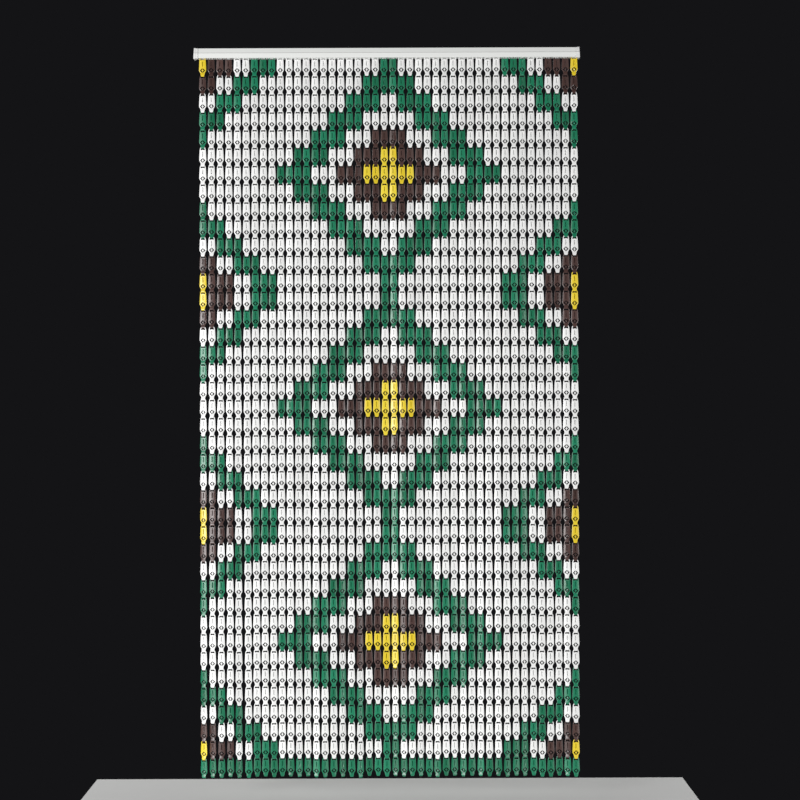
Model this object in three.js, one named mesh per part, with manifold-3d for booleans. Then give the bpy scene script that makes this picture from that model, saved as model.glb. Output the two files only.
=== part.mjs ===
// Plastic tile door curtain with its rail, in millimetres, +Z up.
// An extruded rail with two end caps carries 44 strands of bottle-shaped plastic tiles, each tile
// hooked into the arched slot of the tile above it. The origin is the middle of the rail's flat
// back face, the strands hang down -Z, and the front of the curtain faces -Y.

import * as THREE from "three";
import { mergeVertices } from "three/addons/utils/BufferGeometryUtils.js";
import Module from "manifold-3d";

const wasm = await Module();
wasm.setup();

// The clearance that loose pieces keep to each other, how close two corners are one corner, and
// the steps in a rounded edge
const GAP = 0.3;
const SAME_CORNER = 1e-4;
const EDGE_STEPS = 4;

// Rail: a channel open downwards, with two lips that carry the hanger strips
const OVERALL_LENGTH = 1000;
const RAIL_HEIGHT = 26;
const RAIL_DEPTH = 24;
const RAIL_WALL = 1.6;
const RAIL_SLOT = 12;
const RAIL_EDGE_RADIUS = 1.5;
const BAND_HEIGHT = 12.5;
const BAND_STEP = 1.5;
const BAND_LEAN = 4.5;

// End caps: a plate spread a little towards its lower edge, a collar over the rail's front, which
// stays below the rail's top face, and a plug in the rail's end above the hanger strip
const CAP_THICKNESS = 4;
const CAP_RIM = 1.8;
const CAP_TOP_RIM = 0.6;
const CAP_FLARE = 1.2;
const COLLAR_RIM = 1.4;
const COLLAR_TOP_DROP = 0.5;
const COLLAR_LENGTH = 6;
const PLUG_LENGTH = 6;
const PLUG_PLAY = 2;

// Cap screws, which stand in the top edge of each cap with their heads clear of the rail's top
const SCREW_HEAD_RADIUS = 2;
const SCREW_CROWN_RADIUS = 1.2;
const SCREW_HEAD_HEIGHT = 3.2;
const SCREW_SHANK_RADIUS = 1;
const SCREW_SHANK_LENGTH = 8;
const SCREW_SEGMENTS = 12;

// Hanger strips: one for each half of the strands, a web on two legs that stand on the rail's lips
const STRIP_HEIGHT = 8;
const STRIP_DEPTH = 17;
const STRIP_WALL = 2;
const STRIP_PAST_STRAND = 4;

// Strands and tiles; the row of strands hangs a little right of the rail's middle
const STRANDS = 44;
const STRAND_PITCH = 22.4;
const STRANDS_ASIDE = 4;
const ROWS = 40;
const ROW_PITCH = 46.6;
const NECK_WIDTH = 10.4;
const TOP_WIDTH = 17.6;
const SHOULDER_WIDTH = 19.4;
const TOP_CORNER_DROP = 7;
const SHOULDER_RISE = 9;
const FOOT_WIDTH = 6;
const TUCK_UNDER_RAIL = 5.1;

// Two tiles share one waist in these solids, and a strand has a flat front and a ridge behind
const TILES_PER_WAIST = 2;
const STRAND_SIDES = 3;
const STRAND_FLATNESS = 0.25;

// How loosely the strands hang: turned on their hooks, leaning and stretched a little
const TURN_AT_HOOK = THREE.MathUtils.degToRad(9);
const TURN_AT_FOOT = THREE.MathUtils.degToRad(26);
const LEAN_WAVE = 1.8;
const LEAN_WAVE_STRANDS = 17;
const LEAN_CHANCE = 0.25;
const PARTED_STRANDS = 5;
const PARTING = 2.4;
const HOOK_PLAY = 0.7;
const STRETCH = 2.2;

// The wave that stands in for chance: two steps along it and its height
const CHANCE_STRAND_STEP = 12.9898;
const CHANCE_KIND_STEP = 78.233;
const CHANCE_HEIGHT = 43758.5453;

const railTop = RAIL_HEIGHT / 2;
const railBottom = -railTop;
const railMiddle = -RAIL_DEPTH / 2;
const railLength = OVERALL_LENGTH - 2 * (CAP_THICKNESS + CAP_FLARE + GAP);
const slotFront = railMiddle - RAIL_SLOT / 2;
const slotBack = railMiddle + RAIL_SLOT / 2;
const capInner = railLength / 2 + GAP;
const capMiddle = capInner + CAP_THICKNESS / 2;
const bandTop = railBottom + BAND_HEIGHT;
const stripBottom = railBottom + RAIL_WALL + GAP;
const stripTop = stripBottom + STRIP_HEIGHT;
const strandRoot = stripTop - STRIP_WALL / 2;
const firstTileTop = railBottom + TUCK_UNDER_RAIL;
const curtainDrop = ROWS * ROW_PITCH;

const white = new THREE.MeshStandardMaterial({ color: 0xf4f4f2, roughness: 0.35, metalness: 0 });
const enamel = new THREE.MeshStandardMaterial({ color: 0xe9eae6, roughness: 0.4, metalness: 0 });
const darkSteel = new THREE.MeshStandardMaterial({ color: 0x3a3a3a, roughness: 0.45, metalness: 0.8 });

// A closed geometry as a solid, with its shared corners joined and its empty triangles left out
function toSolid(geometry) {
  const bare = geometry.clone();
  bare.deleteAttribute("normal");
  bare.deleteAttribute("uv");
  const merged = mergeVertices(bare, SAME_CORNER);
  const corners = [];
  const index = merged.getIndex().array;
  for (let i = 0; i < index.length; i += 3) {
    const [a, b, c] = [index[i], index[i + 1], index[i + 2]];
    if (a !== b && b !== c && c !== a) corners.push(a, b, c);
  }
  return new wasm.Manifold(
    new wasm.Mesh({
      numProp: 3,
      vertProperties: new Float32Array(merged.getAttribute("position").array),
      triVerts: new Uint32Array(corners),
    }),
  );
}

function toGeometry(solid) {
  const mesh = solid.getMesh();
  const geometry = new THREE.BufferGeometry();
  geometry.setAttribute("position", new THREE.BufferAttribute(mesh.vertProperties, 3));
  geometry.setIndex(new THREE.BufferAttribute(mesh.triVerts, 1));
  geometry.computeVertexNormals();
  return geometry;
}

// A section drawn across the rail, x for depth and y for height, run along X from the middle
function alongRail(section, length) {
  const geometry = new THREE.ExtrudeGeometry(section, {
    depth: length,
    curveSegments: EDGE_STEPS,
    bevelEnabled: false,
  });
  geometry.translate(0, 0, -length / 2);
  geometry.rotateX(Math.PI / 2);
  geometry.rotateZ(Math.PI / 2);
  return geometry;
}

function block(xLength, yLength, zLength, x, y, z) {
  return new THREE.BoxGeometry(xLength, yLength, zLength).translate(x, y, z);
}

// The outside of the rail: flat back and top, a leaning upper band and an upright lower band
function traceRailFront(section, rim, topRim) {
  const front = -RAIL_DEPTH - rim;
  const top = railTop + topRim;
  const bottom = railBottom - rim;
  const brow = front + BAND_LEAN;
  const r = RAIL_EDGE_RADIUS;
  section.lineTo(brow + r, top);
  section.quadraticCurveTo(brow, top, brow, top - r);
  section.lineTo(front + BAND_STEP, bandTop + BAND_STEP);
  section.lineTo(front, bandTop);
  section.lineTo(front, bottom + r);
  section.quadraticCurveTo(front, bottom, front + r, bottom);
}

function makeRail() {
  const section = new THREE.Shape();
  const innerFront = -RAIL_DEPTH + RAIL_WALL;
  const lipTop = railBottom + RAIL_WALL;
  section.moveTo(slotBack, railBottom);
  section.lineTo(0, railBottom);
  section.lineTo(0, railTop);
  traceRailFront(section, 0, 0);
  section.lineTo(slotFront, railBottom);
  section.lineTo(slotFront, lipTop);
  section.lineTo(innerFront, lipTop);
  section.lineTo(innerFront, bandTop - RAIL_WALL / 2);
  section.lineTo(innerFront + BAND_STEP, bandTop + BAND_STEP - RAIL_WALL / 2);
  section.lineTo(innerFront + BAND_LEAN, railTop - RAIL_WALL);
  section.lineTo(-RAIL_WALL, railTop - RAIL_WALL);
  section.lineTo(-RAIL_WALL, lipTop);
  section.lineTo(slotBack, lipTop);
  section.closePath();
  return toGeometry(toSolid(alongRail(section, railLength)));
}

// The outside of the rail as a closed outline, grown by a rim on its front and underside and by
// another on its top
function railOutline(rim, topRim, back) {
  const outline = new THREE.Shape();
  outline.moveTo(back, railBottom - rim);
  outline.lineTo(back, railTop + topRim);
  traceRailFront(outline, rim, topRim);
  outline.closePath();
  return outline;
}

// The cap's plate, whose outer face is spread further out the lower it is
function makeCapPlate(side) {
  const plate = alongRail(railOutline(CAP_RIM, CAP_TOP_RIM, 0), CAP_THICKNESS);
  const place = plate.getAttribute("position");
  const plateHeight = RAIL_HEIGHT + CAP_RIM + CAP_TOP_RIM;
  for (let i = 0; i < place.count; i++) {
    const outward = place.getX(i) * side > 0;
    const lowness = (railTop + CAP_TOP_RIM - place.getZ(i)) / plateHeight;
    const flare = outward ? CAP_FLARE * lowness : 0;
    place.setX(i, place.getX(i) + side * (capMiddle + flare));
  }
  return toSolid(plate);
}

// The collar over the front of the rail's end, open above, at the back and under the rail's slot
function makeCollar(side) {
  const length = COLLAR_LENGTH + CAP_THICKNESS / 2;
  const middle = side * (capMiddle - length / 2);
  const sleeve = alongRail(railOutline(COLLAR_RIM, COLLAR_RIM, -RAIL_WALL), length);
  const cutLength = 2 * COLLAR_LENGTH;
  const cutMiddle = side * (capInner + CAP_THICKNESS / 4 - COLLAR_LENGTH);
  const railSpace = alongRail(railOutline(GAP, GAP, GAP), cutLength);
  const slotY = slotFront + RAIL_DEPTH / 2;
  const slotZ = railBottom - RAIL_HEIGHT / 2;
  const topZ = railTop - COLLAR_TOP_DROP + RAIL_HEIGHT / 2;
  const cuts = [
    railSpace.translate(cutMiddle, 0, 0),
    block(cutLength, RAIL_DEPTH, RAIL_HEIGHT, cutMiddle, slotY, slotZ),
    block(2 * cutLength, 2 * RAIL_DEPTH, RAIL_HEIGHT, cutMiddle, railMiddle, topZ),
  ];
  const whole = toSolid(sleeve.translate(middle, 0, 0));
  return cuts.reduce((solid, cut) => solid.subtract(toSolid(cut)), whole);
}

// The plug inside the rail's end, in the space that the hanger strip leaves above it
function makePlug(side) {
  const length = PLUG_LENGTH + CAP_THICKNESS / 2;
  const depth = RAIL_DEPTH - BAND_LEAN - 2 * (RAIL_WALL + PLUG_PLAY);
  const low = stripTop + PLUG_PLAY;
  const high = railTop - RAIL_WALL - PLUG_PLAY;
  const back = -RAIL_WALL - PLUG_PLAY;
  const x = side * (capMiddle - length / 2);
  return toSolid(block(length, depth, high - low, x, back - depth / 2, (low + high) / 2));
}

function makeScrewHole(side) {
  const radius = SCREW_SHANK_RADIUS + GAP;
  const length = SCREW_SHANK_LENGTH + 2 * GAP;
  const hole = new THREE.CylinderGeometry(radius, radius, length, SCREW_SEGMENTS);
  hole.rotateX(Math.PI / 2);
  hole.translate(side * capMiddle, railMiddle, railTop + CAP_TOP_RIM - length / 2 + GAP);
  return toSolid(hole);
}

// One end cap; side is -1 for the left end and 1 for the right
function makeCap(side) {
  const body = makeCapPlate(side).add(makeCollar(side)).add(makePlug(side));
  return toGeometry(body.subtract(makeScrewHole(side)));
}

function makeScrew(side) {
  const underHead = railTop + CAP_TOP_RIM + GAP;
  const outline = [
    new THREE.Vector2(0, underHead - SCREW_SHANK_LENGTH),
    new THREE.Vector2(SCREW_SHANK_RADIUS, underHead - SCREW_SHANK_LENGTH),
    new THREE.Vector2(SCREW_SHANK_RADIUS, underHead),
    new THREE.Vector2(SCREW_HEAD_RADIUS, underHead),
    new THREE.Vector2(SCREW_HEAD_RADIUS, underHead + SCREW_HEAD_HEIGHT / 2),
    new THREE.Vector2(SCREW_CROWN_RADIUS, underHead + SCREW_HEAD_HEIGHT),
    new THREE.Vector2(0, underHead + SCREW_HEAD_HEIGHT),
  ];
  const screw = new THREE.LatheGeometry(outline, SCREW_SEGMENTS);
  screw.rotateX(Math.PI / 2);
  screw.translate(side * capMiddle, railMiddle, 0);
  return toGeometry(toSolid(screw));
}

// A repeatable stand-in for chance, from -1 to 1, for one strand and one kind of slack
function chance(strand, kind) {
  const angle = strand * CHANCE_STRAND_STEP + kind * CHANCE_KIND_STEP;
  const wave = Math.sin(angle) * CHANCE_HEIGHT;
  return 2 * (wave - Math.floor(wave)) - 1;
}

// How one strand hangs at a fraction of the drop: its turn about the vertical, its sideways
// place and its height above an even hang
function hang(strand, fraction) {
  const wave = LEAN_WAVE * Math.sin((2 * Math.PI * strand) / LEAN_WAVE_STRANDS);
  const parting = strand < PARTED_STRANDS ? -PARTING : 0;
  const lean = wave + LEAN_CHANCE * chance(strand, 3) + parting;
  return {
    turn: THREE.MathUtils.lerp(
      TURN_AT_HOOK * chance(strand, 1),
      TURN_AT_FOOT * chance(strand, 2),
      fraction,
    ),
    x: (strand - (STRANDS - 1) / 2) * STRAND_PITCH + STRANDS_ASIDE + lean * fraction,
    rise: HOOK_PLAY * chance(strand, 4) + STRETCH * chance(strand, 5) * fraction,
  };
}

// The widths of a strand from its root in the strip down to its foot, as [drop, width] pairs,
// with the drop measured from the top edge of the first tile, so the root's is negative
function strandWidths() {
  const rows = [[firstTileTop - strandRoot, NECK_WIDTH]];
  for (let row = 0; row < ROWS; row += TILES_PER_WAIST) {
    const top = row * ROW_PITCH;
    const foot = top + TILES_PER_WAIST * ROW_PITCH;
    const last = row + TILES_PER_WAIST >= ROWS;
    rows.push([top + TOP_CORNER_DROP, TOP_WIDTH]);
    rows.push([foot - SHOULDER_RISE, SHOULDER_WIDTH]);
    rows.push([foot, last ? FOOT_WIDTH : NECK_WIDTH]);
  }
  return rows;
}

// A three-sided lathe around the strand's own line, flattened, then turned and shifted as it hangs
function makeStrand(strand) {
  const rows = strandWidths();
  const flatToRadius = 1 / (2 * Math.sin(Math.PI / STRAND_SIDES));
  const outline = rows.map(([drop, width]) => new THREE.Vector2(width * flatToRadius, -drop));
  outline.unshift(new THREE.Vector2(0, -rows[0][0]));
  outline.push(new THREE.Vector2(0, -rows[rows.length - 1][0]));
  outline.reverse();
  const geometry = new THREE.LatheGeometry(outline, STRAND_SIDES, Math.PI);
  geometry.rotateX(Math.PI / 2);
  const place = geometry.getAttribute("position");
  for (let i = 0; i < place.count; i++) {
    const across = place.getX(i);
    const through = place.getY(i) * STRAND_FLATNESS;
    const drop = -place.getZ(i);
    const { turn, x, rise } = hang(strand, THREE.MathUtils.clamp(drop / curtainDrop, 0, 1));
    place.setXYZ(
      i,
      x + across * Math.cos(turn) - through * Math.sin(turn),
      railMiddle + across * Math.sin(turn) + through * Math.cos(turn),
      firstTileTop - drop + (drop > 0 ? rise : 0),
    );
  }
  return toSolid(geometry);
}

// The cross-section of a hanger strip: a channel open downwards, standing on its two edges
function stripSection() {
  const front = railMiddle - STRIP_DEPTH / 2;
  const back = railMiddle + STRIP_DEPTH / 2;
  const webBottom = stripTop - STRIP_WALL;
  const section = new THREE.Shape();
  section.moveTo(front, stripBottom);
  section.lineTo(front + STRIP_WALL, stripBottom);
  section.lineTo(front + STRIP_WALL, webBottom);
  section.lineTo(back - STRIP_WALL, webBottom);
  section.lineTo(back - STRIP_WALL, stripBottom);
  section.lineTo(back, stripBottom);
  section.lineTo(back, stripTop);
  section.lineTo(front, stripTop);
  section.closePath();
  return section;
}

// A hanger strip standing on the rail's lips, with the roots of its strands fused into its web
function makeStrands(first, count) {
  const length = (count - 1) * STRAND_PITCH + 2 * STRIP_PAST_STRAND;
  const middle = (first + (count - 1) / 2 - (STRANDS - 1) / 2) * STRAND_PITCH + STRANDS_ASIDE;
  const strip = alongRail(stripSection(), length).translate(middle, 0, 0);
  let solid = toSolid(strip);
  for (let strand = first; strand < first + count; strand++) {
    solid = solid.add(makeStrand(strand));
  }
  return toGeometry(solid);
}

function piece(name, geometry, material) {
  const mesh = new THREE.Mesh(geometry, material);
  mesh.name = name;
  return mesh;
}

const curtain = new THREE.Group();
const half = STRANDS / 2;
curtain.add(piece("rail", makeRail(), enamel));
curtain.add(piece("end_cap_left", makeCap(-1), white));
curtain.add(piece("end_cap_right", makeCap(1), white));
curtain.add(piece("cap_screw_left", makeScrew(-1), darkSteel));
curtain.add(piece("cap_screw_right", makeScrew(1), darkSteel));
curtain.add(piece("strands_left", makeStrands(0, half), white));
curtain.add(piece("strands_right", makeStrands(half, half), white));

export default curtain;
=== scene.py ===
# %% [markdown]
# A doorway curtain of hooked plastic tiles hangs from an enamelled rail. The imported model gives
# the rail, its caps and the place of the strands. This lesson dresses it: every tile gets its
# real outline, slot, flute, diamond and hook, and its colour in the pattern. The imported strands
# are much plainer, so the tiles take their place, and the rail and its caps stay as they are.

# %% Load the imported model
import math

import bmesh
import bpy
import numpy as np
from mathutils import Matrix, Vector
from mathutils.geometry import delaunay_2d_cdt


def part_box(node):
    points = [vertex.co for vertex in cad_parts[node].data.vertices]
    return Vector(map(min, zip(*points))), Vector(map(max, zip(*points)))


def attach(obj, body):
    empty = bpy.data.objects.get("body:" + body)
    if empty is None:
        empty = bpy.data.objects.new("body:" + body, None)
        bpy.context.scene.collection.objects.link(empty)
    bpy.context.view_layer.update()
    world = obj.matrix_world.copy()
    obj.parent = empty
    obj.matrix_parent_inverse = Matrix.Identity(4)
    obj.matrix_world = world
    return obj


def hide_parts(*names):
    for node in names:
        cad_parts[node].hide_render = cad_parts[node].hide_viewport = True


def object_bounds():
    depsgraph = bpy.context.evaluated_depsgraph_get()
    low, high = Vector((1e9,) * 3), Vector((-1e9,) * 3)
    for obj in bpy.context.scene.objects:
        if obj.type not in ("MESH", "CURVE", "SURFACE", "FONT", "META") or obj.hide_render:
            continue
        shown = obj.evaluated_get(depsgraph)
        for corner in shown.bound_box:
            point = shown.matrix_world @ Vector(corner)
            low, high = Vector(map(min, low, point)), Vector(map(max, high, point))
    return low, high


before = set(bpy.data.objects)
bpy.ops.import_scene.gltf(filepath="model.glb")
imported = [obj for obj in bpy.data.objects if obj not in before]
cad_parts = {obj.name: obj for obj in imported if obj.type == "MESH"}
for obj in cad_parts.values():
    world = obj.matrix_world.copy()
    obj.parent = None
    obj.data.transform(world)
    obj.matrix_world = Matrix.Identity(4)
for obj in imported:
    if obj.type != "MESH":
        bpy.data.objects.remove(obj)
model_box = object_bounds()
MM = 0.001
print("model box", model_box)

# %% [markdown]
# The sizes come first, in millimetres, because a tile is easier to think of that way. The counts
# and pitches are the ones the strands were modelled with. The height of the first tile could be
# typed in, but it is measured from the rail's own box, so the tiles always hang from the rail.

# %% Sizes of the curtain
STRANDS = 44
STRAND_PITCH = 22.4
STRANDS_ASIDE = 4.0
ROWS = 40
ROW_PITCH = 46.6
TUCK_UNDER_RAIL = 5.1

rail_low, rail_high = (Vector(corner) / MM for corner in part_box("rail"))
RAIL_BOTTOM = rail_low.z
RAIL_MIDDLE = (rail_low.y + rail_high.y) / 2
FIRST_TILE_TOP = RAIL_BOTTOM + TUCK_UNDER_RAIL
DROP = ROWS * ROW_PITCH
print("rail from", tuple(rail_low), "to", tuple(rail_high), "and the drop is", DROP)

# %% [markdown]
# The camera stands straight in front of the curtain, a little right of its middle and a little
# above it, as in the photo. A long lens from far away keeps the rail and the strands square,
# where a short one would spread them. The camera leans by a hair, because the photo does.

# %% Camera
CAMERA_DISTANCE = 5.0
FRAME_WIDTH = 2.075
CAMERA_ASIDE = 0.0315
CAMERA_HEIGHT = -0.8995
CAMERA_ROLL = math.radians(0.2)

camera_data = bpy.data.cameras.new("camera")
camera_data.angle = 2 * math.atan(FRAME_WIDTH / 2 / CAMERA_DISTANCE)
camera = bpy.data.objects.new("camera", camera_data)
bpy.context.scene.collection.objects.link(camera)
camera.location = (CAMERA_ASIDE, RAIL_MIDDLE * MM - CAMERA_DISTANCE, CAMERA_HEIGHT)
camera.rotation_euler = (math.radians(90), CAMERA_ROLL, 0)
bpy.context.scene.camera = camera
print("camera at", tuple(camera.location))

# %% [markdown]
# Real strands hang by loose hooks, so each one is turned a little, leans a little and has its own
# stretch. A random generator could give that, but its draws would shift with every edit. Here a
# number is worked out from the strand alone, so each strand keeps its own way of hanging, by the
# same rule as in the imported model. The first five strands are parted from the rest.

# %% How a strand hangs
AT_HOOK, AT_FOOT, LEAN, PLAY, PULL, OWN_TURN, SHADE = range(1, 8)
CHANCE_PER_STRAND = 12.9898
CHANCE_PER_KIND = 78.233
CHANCE_SCATTER = 43758.5453
TURN_AT_HOOK = math.radians(9)
TURN_AT_FOOT = math.radians(26)
LEAN_WAVE = 1.8
LEAN_WAVE_STRANDS = 17
LEAN_CHANCE = 0.25
PARTED_STRANDS = 5
PARTING = 2.4
HOOK_PLAY = 0.7
STRETCH = 2.2


def chance(number, kind):
    """A repeatable stand-in for chance, from -1 to 1."""
    wave = math.sin(number * CHANCE_PER_STRAND + kind * CHANCE_PER_KIND) * CHANCE_SCATTER
    return 2 * (wave - math.floor(wave)) - 1


def hang(strand, fraction):
    """The turn, the sideways place and the height above an even hang, part way down a strand."""
    wave = LEAN_WAVE * math.sin(2 * math.pi * strand / LEAN_WAVE_STRANDS)
    parting = -PARTING if strand < PARTED_STRANDS else 0
    lean = wave + LEAN_CHANCE * chance(strand, LEAN) + parting
    at_hook = TURN_AT_HOOK * chance(strand, AT_HOOK)
    at_foot = TURN_AT_FOOT * chance(strand, AT_FOOT)
    turn = at_hook + (at_foot - at_hook) * fraction
    x = (strand - (STRANDS - 1) / 2) * STRAND_PITCH + STRANDS_ASIDE + lean * fraction
    rise = HOOK_PLAY * chance(strand, PLAY) + STRETCH * chance(strand, PULL) * fraction
    return turn, x, rise


print("first strand at its foot", hang(0, 1))

# %% [markdown]
# One tile is a thin moulded plate, so it is drawn flat, as a plan of closed lines, each at its
# own depth. Cutting the openings with booleans would be slow to control on such a thin plate.
# The right half of the outline is a short list of corners, and the left half is its mirror
# image. Distances run down from the tile's top edge, and depth 0 is the middle of the plate.

# %% The tile's outline
PLATE = 1.6
HALF_OUTLINE = [  # half width, distance down
    (4.3, 0.0),
    (5.5, 0.7),
    (6.5, 2.3),
    (7.4, 4.8),
    (7.9, 7.0),
    (8.2, 10.0),
    (9.3, 31.0),
    (9.3, 34.2),
    (8.9, 36.0),
    (7.4, 38.6),
    (6.0, 41.2),
    (5.4, 43.4),
    (5.3, 46.2),
]
NECK_DOWN = 46.2


def mirrored(right):
    """A closed line from its right half, which runs from the top to the bottom."""
    left = [(-x, down) for x, down in reversed(right)]
    return right + left


print("widest half width of a tile", max(x for x, down in HALF_OUTLINE))

# %% [markdown]
# Three lines lie inside the outline. The slot near the top takes the hook of the tile above, and
# it is an arch that sags at both ends. The flute is a groove down the upper half. The diamond low
# on the face is drawn twice, as the edge of its gap and as the boss inside it. Each line comes
# from a few sizes, so one number changes it on every tile.

# %% The slot, the flute and the diamond
SLOT_HALF_WIDTH = 5.5
SLOT_TOP = 1.9
SLOT_TOP_ARCH = 3.6
SLOT_BOTTOM = 7.6
SLOT_BOTTOM_ARCH = 1.5
SLOT_STEPS = 8
FLUTE_HALF_WIDTH = 1.7
FLUTE_TOP = 10.2
FLUTE_BOTTOM = 25.6
FLUTE_SIDE = 1.2
FLUTE_DEPTH = 1.2
FLUTE_END_ACROSS = 0.5
FLUTE_END_DOWN = 0.1
DIAMOND_MIDDLE = 35.0
DIAMOND_OUTER = 7.1
DIAMOND_INNER = 3.1
BOSS_RISE = 0.6


def slot_line():
    """An arch: its lower line sags to both sides, and its upper line drops to meet it."""
    top, bottom = [], []
    for i in range(SLOT_STEPS + 1):
        share = math.sin(math.pi * (i / SLOT_STEPS - 0.5))
        x = SLOT_HALF_WIDTH * share
        top.append((x, SLOT_TOP + SLOT_TOP_ARCH * share**4))
        bottom.append((x, SLOT_BOTTOM + SLOT_BOTTOM_ARCH * share**2))
    return top + list(reversed(bottom))


def flute_line(inwards):
    """The groove's long line with blunt ends, moved inwards by a distance."""
    r = FLUTE_HALF_WIDTH - inwards
    top, bottom = FLUTE_TOP + inwards, FLUTE_BOTTOM - inwards
    across, down = FLUTE_END_ACROSS * r, FLUTE_END_DOWN * r
    return mirrored([(across, top + down), (r, top + r), (r, bottom - r), (across, bottom - down)])


def diamond_line(reach):
    """A square on its corner, which reaches equally far up, down and to both sides."""
    m = DIAMOND_MIDDLE
    return [(0, m - reach), (reach, m), (0, m + reach), (-reach, m)]


print("slot corners", len(slot_line()), "flute corners", len(flute_line(0)))

# %% [markdown]
# Below the neck the plate runs on as a narrow tail, which is moulded as a hook: it jogs forward,
# passes in front of the next tile's top bar, turns back under the bar through the slot and stands
# up behind it. Modelling it in place would be awkward, so it is drawn straight with the rest of
# the plan, and a rule then moves each point to its place on the bend.

# %% The tail and its bend
TAIL_PLATE = 1.2
BAR_BOTTOM = 2.45
BEND_GAP = 0.15
BEND_RADIUS = PLATE / 2 + BEND_GAP + TAIL_PLATE / 2
BEND_STEPS = 5
JOG_START = 42.0
JOG_END = 46.0
TAIL_HALF_WIDTH = 3.8
TAIL_FLARE = 0.3
TAIL_TAPER = 0.8
TAIL_END = 2.0
bend_start = ROW_PITCH + BAR_BOTTOM
bend_length = math.pi * BEND_RADIUS
TAIL_ROWS = [(TAIL_HALF_WIDTH + TAIL_FLARE, bend_start)]
TAIL_ROWS += [
    (TAIL_HALF_WIDTH, bend_start + bend_length * (i + 1) / BEND_STEPS)
    for i in range(BEND_STEPS)
]
TAIL_ROWS += [(TAIL_HALF_WIDTH - TAIL_TAPER, bend_start + bend_length + TAIL_END)]


def ease(value, start, end):
    """From 0 at the start to 1 at the end, slow at both."""
    share = min(max((value - start) / (end - start), 0), 1)
    return share * share * (3 - 2 * share)


def bent(x, down, depth):
    """Where a point of the flat plan lands on the bent tile: across, through, up."""
    thinning = 1 - (1 - TAIL_PLATE / PLATE) * ease(down, JOG_START, JOG_END)
    depth = depth * thinning
    forward = -BEND_RADIUS * ease(down, JOG_START, JOG_END)
    if down <= bend_start:
        return x, forward + depth, -down
    if down <= bend_start + bend_length:
        angle = (down - bend_start) / BEND_RADIUS
        out = BEND_RADIUS - depth
        return x, -out * math.cos(angle), -bend_start - out * math.sin(angle)
    return x, BEND_RADIUS - depth, -bend_start + (down - bend_start - bend_length)


print("tail rows", [round(down, 2) for _, down in TAIL_ROWS])

# %% [markdown]
# Two small tools work on the closed lines. One tells whether a point lies inside a line, which
# later sorts the openings from the plate. The other moves a line inwards, for the bevelled rim.

# %% Tools for closed lines


def contains(line, x, down):
    """Whether a closed line goes round a point, by counting the sides to its right."""
    odd = False
    for (x0, d0), (x1, d1) in zip(line, line[1:] + line[:1]):
        if (d0 > down) != (d1 > down) and x < (x1 - x0) * (down - d0) / (d1 - d0) + x0:
            odd = not odd
    return odd


def inset(line, distance):
    """The line's corners moved inwards, each square to its two neighbours."""
    moved = []
    for before, here, after in zip(line[-1:] + line[:-1], line, line[1:] + line[:1]):
        along = (Vector(after) - Vector(before)).normalized()
        moved.append((here[0] - along.y * distance, here[1] + along.x * distance))
    return moved


print("the diamond's middle is inside it:", contains(diamond_line(1), 0, DIAMOND_MIDDLE))

# %% [markdown]
# A plan holds the points of one face of the plate, with their depths, and the lines that join
# them. A constrained fill turns it into triangles that keep every drawn line, which a plain grid
# could not. The fill also covers the openings, so those triangles are dropped.

# %% A plan and its fill
TRIANGLES_OUT = 0
SAME_POINT = 1e-5


class Plan:
    """Corners of a flat plan with a depth each, and the lines that join them."""

    def __init__(self):
        self.points, self.depths, self.edges = [], [], []

    def add(self, line, depth, closed=True):
        """Adds a line at one depth, or a depth for each corner, and gives its corners' numbers."""
        first = len(self.points)
        self.points += [Vector(p) for p in line]
        self.depths += depth if isinstance(depth, list) else [depth] * len(line)
        ids = list(range(first, first + len(line)))
        self.edges += list(zip(ids, ids[1:] + (ids[:1] if closed else [])))
        return ids

    def join_across(self, ids, first_down):
        """Joins the left and right corners of the outline, so that the tail bends row by row."""
        for i in range(len(ids) // 2):
            right, left = ids[i], ids[len(ids) - 1 - i]
            if self.points[right].y >= first_down:
                self.edges.append((right, left))

    def fill(self, outline, openings):
        """The triangles inside the outline and outside every opening."""
        found = delaunay_2d_cdt(self.points, self.edges, [], TRIANGLES_OUT, SAME_POINT)
        source = [ids[0] for ids in found[3]]
        triangles = []
        for face in found[2]:
            corners = [source[i] for i in face]
            middle = sum((self.points[i] for i in corners), Vector((0, 0))) / 3
            if contains(outline, *middle) and not any(opening(*middle) for opening in openings):
                triangles.append(corners)
        return triangles


trial = Plan()
trial.add(diamond_line(DIAMOND_OUTER), 0)
print("a diamond alone fills with", len(trial.fill(diamond_line(DIAMOND_OUTER), [])), "triangles")

# %% [markdown]
# The front and the back are two filled plans, and walls join them along the outline and round
# every opening. That makes one closed solid, so the plate shows its thickness at each edge. The
# last step counts the open edges, which must be none.

# %% Close a plate into a solid
CC_IN_CUBIC_METRE = 1e6


def close_plate(front, back, front_faces, back_faces, walls):
    """The bent solid of two filled plans, as a bmesh."""
    solid = bmesh.new()
    ends = []
    for plan in (front, back):
        places = [bent(p.x, p.y, depth) for p, depth in zip(plan.points, plan.depths)]
        ends.append([solid.verts.new(Vector(place) * MM) for place in places])
    for corners in front_faces:
        solid.faces.new([ends[0][i] for i in reversed(corners)])
    for corners in back_faces:
        solid.faces.new([ends[1][i] for i in corners])
    for near, far in walls:
        for i in range(len(near)):
            j = (i + 1) % len(near)
            wall = [ends[0][near[i]], ends[0][near[j]], ends[1][far[j]], ends[1][far[i]]]
            solid.faces.new(wall)
    return solid


def close_prism(solid, near, far):
    """Closes the room between two rings of points, listed in step, with faces."""
    solid.faces.new(near)
    solid.faces.new(list(reversed(far)))
    for i in range(len(near)):
        j = (i + 1) % len(near)
        solid.faces.new([near[j], near[i], far[i], far[j]])


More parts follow.
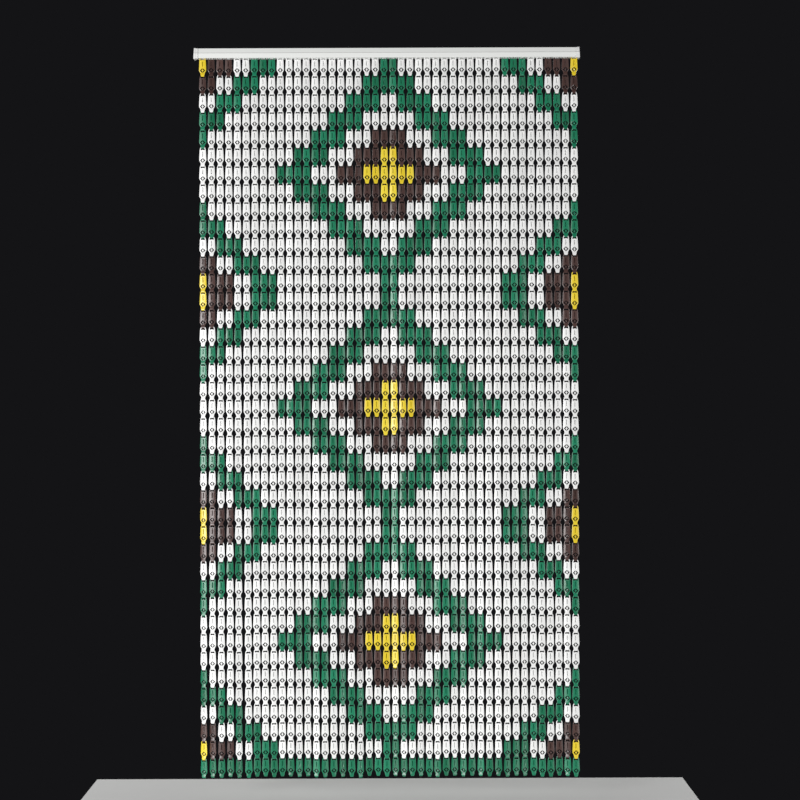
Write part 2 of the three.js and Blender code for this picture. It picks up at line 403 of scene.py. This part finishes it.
def finish_solid(solid):
    """Turns the faces outwards, cuts them into triangles and gives the arrays of the mesh."""
    bmesh.ops.recalc_face_normals(solid, faces=solid.faces)
    bmesh.ops.triangulate(solid, faces=solid.faces)
    open_edges = sum(not edge.is_manifold for edge in solid.edges)
    corners = np.array([v.co for v in solid.verts])
    solid.verts.index_update()
    faces = np.array([[v.index for v in face.verts] for face in solid.faces])
    volume = solid.calc_volume(signed=True) * CC_IN_CUBIC_METRE
    print("volume", round(volume, 3), "cc, open edges", open_edges)
    solid.free()
    return corners, faces


print("the tail runs", round(BEND_RADIUS, 2), "mm in front of the middle of the next tile's bar")

# %% [markdown]
# Now the tile itself. Its rim is bevelled, the flute is a trough with sloping sides that ends in
# a narrow slit, and the diamond is a gap cut round a small pointed boss, which an upright strap
# behind it holds. The photo shows the gap as a dark outline, paler at its upper and lower
# corners, which is where the strap lies behind it, and the slit as a grey line down the tile.

# %% One tile
RIM_WIDTH = 1.2
RIM_DEPTH = 0.5
RIM_FADE_START = 43
RIM_FADE_END = 46
STRAP_HALF_WIDTH = 0.5
STRAP_DEPTH = 0.9
STRAP_SUNK = 0.3
STRAP_OVERLAP = 0.8
outline = mirrored(HALF_OUTLINE + TAIL_ROWS)
slot = slot_line()
slit = flute_line(FLUTE_SIDE)
diamond = diamond_line(DIAMOND_OUTER)
boss = diamond_line(DIAMOND_INNER)
OPENINGS = [
    lambda x, down: contains(slot, x, down),
    lambda x, down: contains(slit, x, down),
    lambda x, down: contains(diamond, x, down) and not contains(boss, x, down),
]


def front_plan():
    """The front of the plate, and the rings of corners that walls will start from."""
    plan = Plan()
    face = -PLATE / 2
    sunk = [
        face + RIM_DEPTH * (1 - ease(down, RIM_FADE_START, RIM_FADE_END))
        for _, down in outline
    ]
    edge = plan.add(outline, sunk)
    plan.add([p for p, q in zip(inset(outline, RIM_WIDTH), outline) if q[1] <= NECK_DOWN], face)
    plan.join_across(edge, (NECK_DOWN + bend_start) / 2)
    slot_ids = plan.add(slot, face)
    plan.add(flute_line(0), face)
    slit_ids = plan.add(slit, face + FLUTE_DEPTH)
    rings = [edge, slot_ids, slit_ids, plan.add(diamond, face), plan.add(boss, face)]
    plan.add([(0, DIAMOND_MIDDLE)], face - BOSS_RISE, closed=False)
    return plan, rings


def back_plan():
    """The back of the plate, which is flat, with the same rings."""
    plan = Plan()
    edge = plan.add(outline, PLATE / 2)
    plan.join_across(edge, JOG_START)
    return plan, [edge] + [plan.add(line, PLATE / 2) for line in (slot, slit, diamond, boss)]


def add_strap(solid):
    """An upright bar behind the diamond, sunk a little into the back of the plate."""
    square = [(-1, -1), (1, -1), (1, 1), (-1, 1)]
    reach = DIAMOND_OUTER + STRAP_OVERLAP
    ring = [(x * STRAP_HALF_WIDTH, DIAMOND_MIDDLE + d * reach) for x, d in square]
    near, far = (
        [solid.verts.new(Vector((x, depth, -d)) * MM) for x, d in ring]
        for depth in (PLATE / 2 - STRAP_SUNK, PLATE / 2 + STRAP_DEPTH)
    )
    close_prism(solid, near, far)


def make_tile():
    """The corners and the triangles of one whole tile."""
    front, front_rings = front_plan()
    back, back_rings = back_plan()
    faces = [plan.fill(outline, OPENINGS) for plan in (front, back)]
    solid = close_plate(front, back, *faces, zip(front_rings, back_rings))
    add_strap(solid)
    return finish_solid(solid)


tile_corners, tile_faces = make_tile()
print("triangles in a tile", len(tile_faces))
print("tile spans", (tile_corners.max(0) - tile_corners.min(0)) / MM)

# %% [markdown]
# The curtain has 1760 tiles. An object for each would make the file slow, so they are laid out
# as arrays: one copy of the tile's corners for each place, turned and moved as its strand hangs
# there, all in one mesh. Each copy carries a number of its own, which its material turns into a
# slightly different shade.

# %% Copies of a solid in one mesh
SHARP_ANGLE = math.radians(38)


def mesh_from(name, corners, faces, shades=None):
    """An object of triangles, smooth but for its sharp edges."""
    mesh = bpy.data.meshes.new(name)
    mesh.vertices.add(len(corners))
    mesh.vertices.foreach_set("co", corners.ravel())
    mesh.loops.add(faces.size)
    mesh.loops.foreach_set("vertex_index", faces.ravel().astype(np.int32))
    mesh.polygons.add(len(faces))
    mesh.polygons.foreach_set("loop_start", np.arange(0, faces.size, 3, dtype=np.int32))
    mesh.update(calc_edges=True)
    mesh.polygons.foreach_set("use_smooth", np.ones(len(faces), dtype=bool))
    mesh.set_sharp_from_angle(angle=SHARP_ANGLE)
    if shades is not None:
        layer = mesh.attributes.new("tile_shade", "FLOAT", "POINT")
        layer.data.foreach_set("value", shades.astype(np.float32))
    piece = bpy.data.objects.new(name, mesh)
    bpy.context.scene.collection.objects.link(piece)
    return piece


def lay_out(name, corners, faces, places):
    """One mesh of many copies; a place is a turn, a spot in millimetres and a shade."""
    turn = np.array([p[0] for p in places])[:, None]
    spot = np.array([p[1] for p in places])[:, None, :] * MM
    x, y, z = (corners[None, :, i] for i in range(3))
    cos, sin = np.cos(turn), np.sin(turn)
    turned = np.stack([x * cos - y * sin, x * sin + y * cos, z + 0 * turn], axis=-1)
    every = faces[None, :, :] + np.arange(len(places))[:, None, None] * len(corners)
    shades = np.repeat([p[2] for p in places], len(corners))
    return mesh_from(name, (turned + spot).reshape(-1, 3), every.reshape(-1, 3), shades)


print("a sharp edge is one over", round(math.degrees(SHARP_ANGLE)), "degrees")

# %% [markdown]
# A tile's place follows from its strand and its row. It hangs where its strand is at that
# height, and it turns a little more on its own hook, so the gloss breaks up from tile to tile.

# %% Where a tile hangs
TILE_TURN = math.radians(2.5)


def tile_place(strand, row):
    """The turn, the spot and the shade (0 to 1) of a tile, for laying out."""
    turn, x, rise = hang(strand, row * ROW_PITCH / DROP)
    number = strand + row * STRANDS
    spot = (x, RAIL_MIDDLE, FIRST_TILE_TOP - row * ROW_PITCH + rise)
    return turn + TILE_TURN * chance(number, OWN_TURN), spot, 0.5 + 0.5 * chance(number, SHADE)


print("first tile hangs at", tile_place(0, 0)[1])

# %% [markdown]
# The pattern is a plain arrangement of stepped lozenges, counted off tile by tile. Three large
# ones stand down the middle, and smaller ones come in from both sides between them. A rule says
# each tile's colour, so no picture is needed. A tile is twice as tall as it is wide, so a step
# sideways counts half of a step down.

# %% The pattern
LARGE = {
    "every": 13,
    "first": 6,
    "rings": ((1.5, "yellow"), (3.0, "brown"), (4.5, "white"), (6.5, "green")),
}
SMALL = {
    "every": 13,
    "first": -0.5,
    "rings": ((1.0, "yellow"), (2.5, "brown"), (3.5, "white"), (5.0, "green")),
}


def ring_colour(motif, aside, row):
    """The colour a lozenge gives a tile, or nothing outside it."""
    nearest = round((row - motif["first"]) / motif["every"]) * motif["every"] + motif["first"]
    level = aside / 2 + abs(row - nearest)
    return next((colour for reach, colour in motif["rings"] if level < reach), None)


def tile_colour(strand, row):
    """The last row is a plain green border, and white is the ground."""
    if row == ROWS - 1:
        return "green"
    aside = abs(strand - (STRANDS - 1) / 2)
    inwards = STRANDS / 2 - aside
    return ring_colour(LARGE, aside, row) or ring_colour(SMALL, inwards, row) or "white"


print("colours in the seventh row", [tile_colour(strand, 6) for strand in range(STRANDS // 2)])

# %% [markdown]
# Tiles of one colour share one mesh and one finish. The white ones are so many that they are
# shared out over three meshes, so that no mesh holds more than a set number of triangles.

# %% Hang the tiles, a mesh for each colour
MOST_TRIANGLES = 199_000
by_colour = {"white": [], "green": [], "brown": [], "yellow": []}
for strand in range(STRANDS):
    for row in range(ROWS):
        by_colour[tile_colour(strand, row)].append(tile_place(strand, row))
most = MOST_TRIANGLES // len(tile_faces)
tile_pieces = []
for colour, places in by_colour.items():
    parts = math.ceil(len(places) / most)
    size = math.ceil(len(places) / parts)
    for part in range(parts):
        name = f"tiles_{colour}" if parts == 1 else f"tiles_{colour}_{part + 1}"
        share = places[part * size:(part + 1) * size]
        tile_pieces.append((lay_out(name, tile_corners, tile_faces, share), colour))
        print(name, len(share), "tiles,", len(share) * len(tile_faces), "triangles")

# %% [markdown]
# Inside the rail each strand hangs from a hook of its own, the same bent tail as a tile has,
# which comes down from the web of the hanger strip. The plan, the bend and the layout are used
# again for it, one row higher. Only a view from below shows the hooks.

# %% Hooks in the rail
STRIP_HEIGHT = 8.0
STRIP_WALL = 2.0
RAIL_WALL = 1.6
GAP = 0.3
HOOK_FLARE = 0.6
strip_bottom = RAIL_BOTTOM + RAIL_WALL + GAP
strip_top = strip_bottom + STRIP_HEIGHT


def make_hook():
    """A strap that comes down from the strip's web and ends in the tile's own bend."""
    root = FIRST_TILE_TOP + ROW_PITCH - (strip_top - STRIP_WALL / 2)
    line = mirrored([(TAIL_HALF_WIDTH + HOOK_FLARE, root)] + TAIL_ROWS)
    plans, rings = [], []
    for depth in (-PLATE / 2, PLATE / 2):
        plan = Plan()
        rings.append(plan.add(line, depth))
        plan.join_across(rings[-1], root)
        plans.append(plan)
    faces = [plan.fill(line, []) for plan in plans]
    return finish_solid(close_plate(*plans, *faces, [rings]))


hook_corners, hook_faces = make_hook()
hook_places = []
for strand in range(STRANDS):
    turn, spot, shade = tile_place(strand, 0)
    hook_places.append((turn, (spot[0], spot[1], spot[2] + ROW_PITCH), shade))
hooks = lay_out("strand_hooks", hook_corners, hook_faces, hook_places)
print("triangles in a hook", len(hook_faces))

# %% [markdown]
# Two hanger strips carry the hooks, one for each half of the strands. They lie hidden in the
# rail, so a channel drawn as one section and run along X is enough, with its long edges rounded
# over by a bevel, because a knife-sharp edge would catch no light.

# %% Hanger strips
STRIP_DEPTH = 17.0
STRIP_PAST_STRAND = 4.0
STRIP_ROUNDING = 0.4


def make_strip(name, first, last):
    """A channel open downwards, from a little before one strand to a little past another."""
    ends = [tile_place(strand, 0)[1][0] for strand in (first, last)]
    low_x, high_x = ends[0] - STRIP_PAST_STRAND, ends[1] + STRIP_PAST_STRAND
    front, back = RAIL_MIDDLE - STRIP_DEPTH / 2, RAIL_MIDDLE + STRIP_DEPTH / 2
    w, low, top = STRIP_WALL, strip_bottom, strip_top
    section = [(front, low), (front + w, low), (front + w, top - w), (back - w, top - w)]
    section += [(back - w, low), (back, low), (back, top), (front, top)]
    solid = bmesh.new()
    near, far = (
        [solid.verts.new(Vector((x, y, z)) * MM) for y, z in section]
        for x in (low_x, high_x)
    )
    close_prism(solid, near, far)
    long_edges = [e for e in solid.edges if e.verts[0].co.x != e.verts[1].co.x]
    rounding = STRIP_ROUNDING * MM
    bmesh.ops.bevel(solid, geom=long_edges, offset=rounding, segments=2, affect="EDGES")
    return mesh_from(name, *finish_solid(solid))


strip_left = make_strip("hanger_strip_left", 0, STRANDS // 2 - 1)
strip_right = make_strip("hanger_strip_right", STRANDS // 2, STRANDS - 1)
print("the strips are", STRIP_HEIGHT, "mm high and their lower edge is at", strip_bottom)

# %% [markdown]
# Every finish here is built from the same three small groups of nodes: a blend of two close
# shades, a noise measured on the object, and a range that the noise moves through. Written as
# helpers they are told once, and each finish further down is only a short list of values.

# %% Helpers for nodes


def blend_nodes(tree, factor, low, high):
    """A colour between two, by a factor from 0 to 1."""
    mix = tree.nodes.new("ShaderNodeMix")
    mix.data_type = "RGBA"
    mix.inputs["A"].default_value = (*low, 1)
    mix.inputs["B"].default_value = (*high, 1)
    tree.links.new(factor, mix.inputs["Factor"])
    return mix.outputs["Result"]


def noise_at(tree, scale, detail=2.0):
    """A noise fixed to the object; the larger the scale, the finer it is."""
    coordinates = tree.nodes.new("ShaderNodeTexCoord")
    noise = tree.nodes.new("ShaderNodeTexNoise")
    noise.inputs["Scale"].default_value = scale
    noise.inputs["Detail"].default_value = detail
    tree.links.new(coordinates.outputs["Object"], noise.inputs["Vector"])
    return noise.outputs["Fac"]


def spread(tree, factor, low, high):
    """A number between two, by a factor from 0 to 1."""
    span = tree.nodes.new("ShaderNodeMapRange")
    span.inputs["To Min"].default_value = low
    span.inputs["To Max"].default_value = high
    tree.links.new(factor, span.inputs["Value"])
    return span.outputs["Result"]


print("node helpers:", blend_nodes.__name__, noise_at.__name__, spread.__name__)

# %% [markdown]
# No made surface is perfectly even. A finish here has two close shades, blended by each tile's
# own number or by a wide noise, a gloss that a noise moves a little, and a fine grain as bump,
# such as the faint orange-peel of a moulding. Values that are the same everywhere go straight
# onto the shader.

# %% A finish
BUMP_STRENGTH = 0.4
BUMP_DETAIL = 3.0
GRAINS_TO_A_GLOSS_PATCH = 6


def finish_material(name, shade_from, low, high, rough, grain, height, metallic=0.0):
    """A surface with two shades, an uneven gloss and a fine grain."""
    material = bpy.data.materials.new(name)
    material.use_nodes = True
    tree = material.node_tree
    shader = tree.nodes["Principled BSDF"]
    if shade_from == "tile":
        own = tree.nodes.new("ShaderNodeAttribute")
        own.attribute_name = "tile_shade"
        factor = own.outputs["Fac"]
    else:
        factor = noise_at(tree, shade_from)
    tree.links.new(blend_nodes(tree, factor, low, high), shader.inputs["Base Color"])
    gloss = spread(tree, noise_at(tree, grain / GRAINS_TO_A_GLOSS_PATCH), *rough)
    tree.links.new(gloss, shader.inputs["Roughness"])
    bump = tree.nodes.new("ShaderNodeBump")
    bump.inputs["Strength"].default_value = BUMP_STRENGTH
    bump.inputs["Distance"].default_value = height
    tree.links.new(noise_at(tree, grain, BUMP_DETAIL), bump.inputs["Height"])
    tree.links.new(bump.outputs["Normal"], shader.inputs["Normal"])
    shader.inputs["Metallic"].default_value = metallic
    print("finish", name)
    return material


# %% [markdown]
# The tiles are glossy moulded plastic in four colours. They share one gloss and one grain, since
# they come from the same mould, and differ only in their shades. Each piece is then hung from the
# root, and the imported strands it takes the place of are hidden.

# %% The tiles' plastic
TILE_SHADES = {
    "white": ((0.80, 0.80, 0.79), (0.90, 0.90, 0.89)),
    "green": ((0.006, 0.140, 0.066), (0.013, 0.215, 0.110)),
    "brown": ((0.055, 0.028, 0.024), (0.085, 0.046, 0.040)),
    "yellow": ((0.74, 0.55, 0.024), (0.86, 0.68, 0.05)),
}
TILE_GLOSS = {"rough": (0.24, 0.42), "grain": 900, "height": 0.00003}
tile_finishes = {
    colour: finish_material(f"tile plastic {colour}", "tile", *shades, **TILE_GLOSS)
    for colour, shades in TILE_SHADES.items()
}
for piece, colour in tile_pieces:
    piece.data.materials.append(tile_finishes[colour])
    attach(piece, "root")
    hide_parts("strands_left", "strands_right")
in_rail = (hooks, strip_left, strip_right)
for piece in in_rail:
    piece.data.materials.append(tile_finishes["white"])
    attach(piece, "root")
    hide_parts("strands_left" if piece is not strip_right else "strands_right")
print("pieces with the tiles' plastic", len(tile_pieces) + len(in_rail))

# %% [markdown]
# The rail is enamelled metal, its caps are matt mouldings and its screws are dark steel. All keep
# their modelled shape and only need a finish. The noise that blends the enamel's two shades is
# the widest, so its colour drifts slowly along the rail, as sprayed paint does.

# %% Rail, caps and screws
enamel = finish_material(
    "rail enamel",
    shade_from=3.0,
    low=(0.78, 0.79, 0.77),
    high=(0.85, 0.86, 0.84),
    rough=(0.30, 0.42),
    grain=700,
    height=0.00002,
)
cap_plastic = finish_material(
    "cap plastic",
    shade_from=60.0,
    low=(0.74, 0.74, 0.73),
    high=(0.82, 0.82, 0.81),
    rough=(0.45, 0.6),
    grain=1100,
    height=0.00005,
)
dark_steel = finish_material(
    "screw steel",
    shade_from=300.0,
    low=(0.07, 0.07, 0.07),
    high=(0.13, 0.13, 0.13),
    rough=(0.3, 0.5),
    grain=900,
    height=0.00003,
    metallic=1.0,
)
for node, finish in (
    ("rail", enamel),
    ("end_cap_left", cap_plastic),
    ("end_cap_right", cap_plastic),
    ("cap_screw_left", dark_steel),
    ("cap_screw_right", dark_steel),
):
    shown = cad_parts[node]
    shown.data.materials.clear()
    shown.data.materials.append(finish)
    print(node, "gets", finish.name)

# %% [markdown]
# A pale slab stands for the floor, a few centimetres below the tiles, and the rest of the room is
# left dark, so the gaps between the strands read dark as they do in the photo. The slab ends a
# little way behind the curtain, so that from the front it shows below the tiles only.

# %% Floor and room
FLOOR_DROP = 0.06
FLOOR_WIDTH = 1.6
FLOOR_FRONT = -0.75
FLOOR_BACK = 0.26
FLOOR_THICKNESS = 0.04
ROOM_COLOUR = (0.007, 0.007, 0.008, 1)
floor_middle = (FLOOR_FRONT + FLOOR_BACK) / 2
floor_height = model_box[0][2] - FLOOR_DROP - FLOOR_THICKNESS / 2
bpy.ops.mesh.primitive_cube_add(size=1, location=(0, floor_middle, floor_height))
floor = bpy.context.object
floor.name = "floor"
floor.scale = (FLOOR_WIDTH, FLOOR_BACK - FLOOR_FRONT, FLOOR_THICKNESS)
floor_finish = finish_material(
    "pale floor",
    shade_from=4.0,
    low=(0.60, 0.60, 0.59),
    high=(0.66, 0.66, 0.65),
    rough=(0.6, 0.7),
    grain=200,
    height=0.0001,
)
floor.data.materials.append(floor_finish)

world = bpy.data.worlds.new("room")
world.use_nodes = True
world.node_tree.nodes["Background"].inputs["Color"].default_value = ROOM_COLOUR
bpy.context.scene.world = world
bpy.context.scene.view_settings.view_transform = "Standard"
print("the floor's middle is at height", floor_height)

# %% [markdown]
# The photo's light is even and soft, from the front. Two wide lamps give that here, one on each
# side at about the height of the curtain's middle, the left one stronger so that the tiles keep
# some shape. Two more light the back. The lamps themselves stay out of the camera's sight.

# %% Soft studio lamps
LAMPS = [  # name, place, size, watts
    ("key", (-2.9, -3.4, -0.95), 1.8, 200),
    ("fill", (3.0, -3.6, -1.3), 2.0, 91),
    ("back left", (-2.4, 3.0, 0.8), 2.0, 90),
    ("back right", (2.4, 3.0, -0.2), 2.0, 70),
]
AIM = Vector((0, 0, -0.93))
for name, place, size, watts in LAMPS:
    lamp_data = bpy.data.lights.new(name, "AREA")
    lamp_data.size = size
    lamp_data.energy = watts
    lamp = bpy.data.objects.new(name, lamp_data)
    bpy.context.scene.collection.objects.link(lamp)
    lamp.location = place
    lamp.rotation_euler = (AIM - Vector(place)).to_track_quat("-Z", "Y").to_euler()
    lamp.visible_camera = False
    print("lamp", name, "of", watts, "watts")
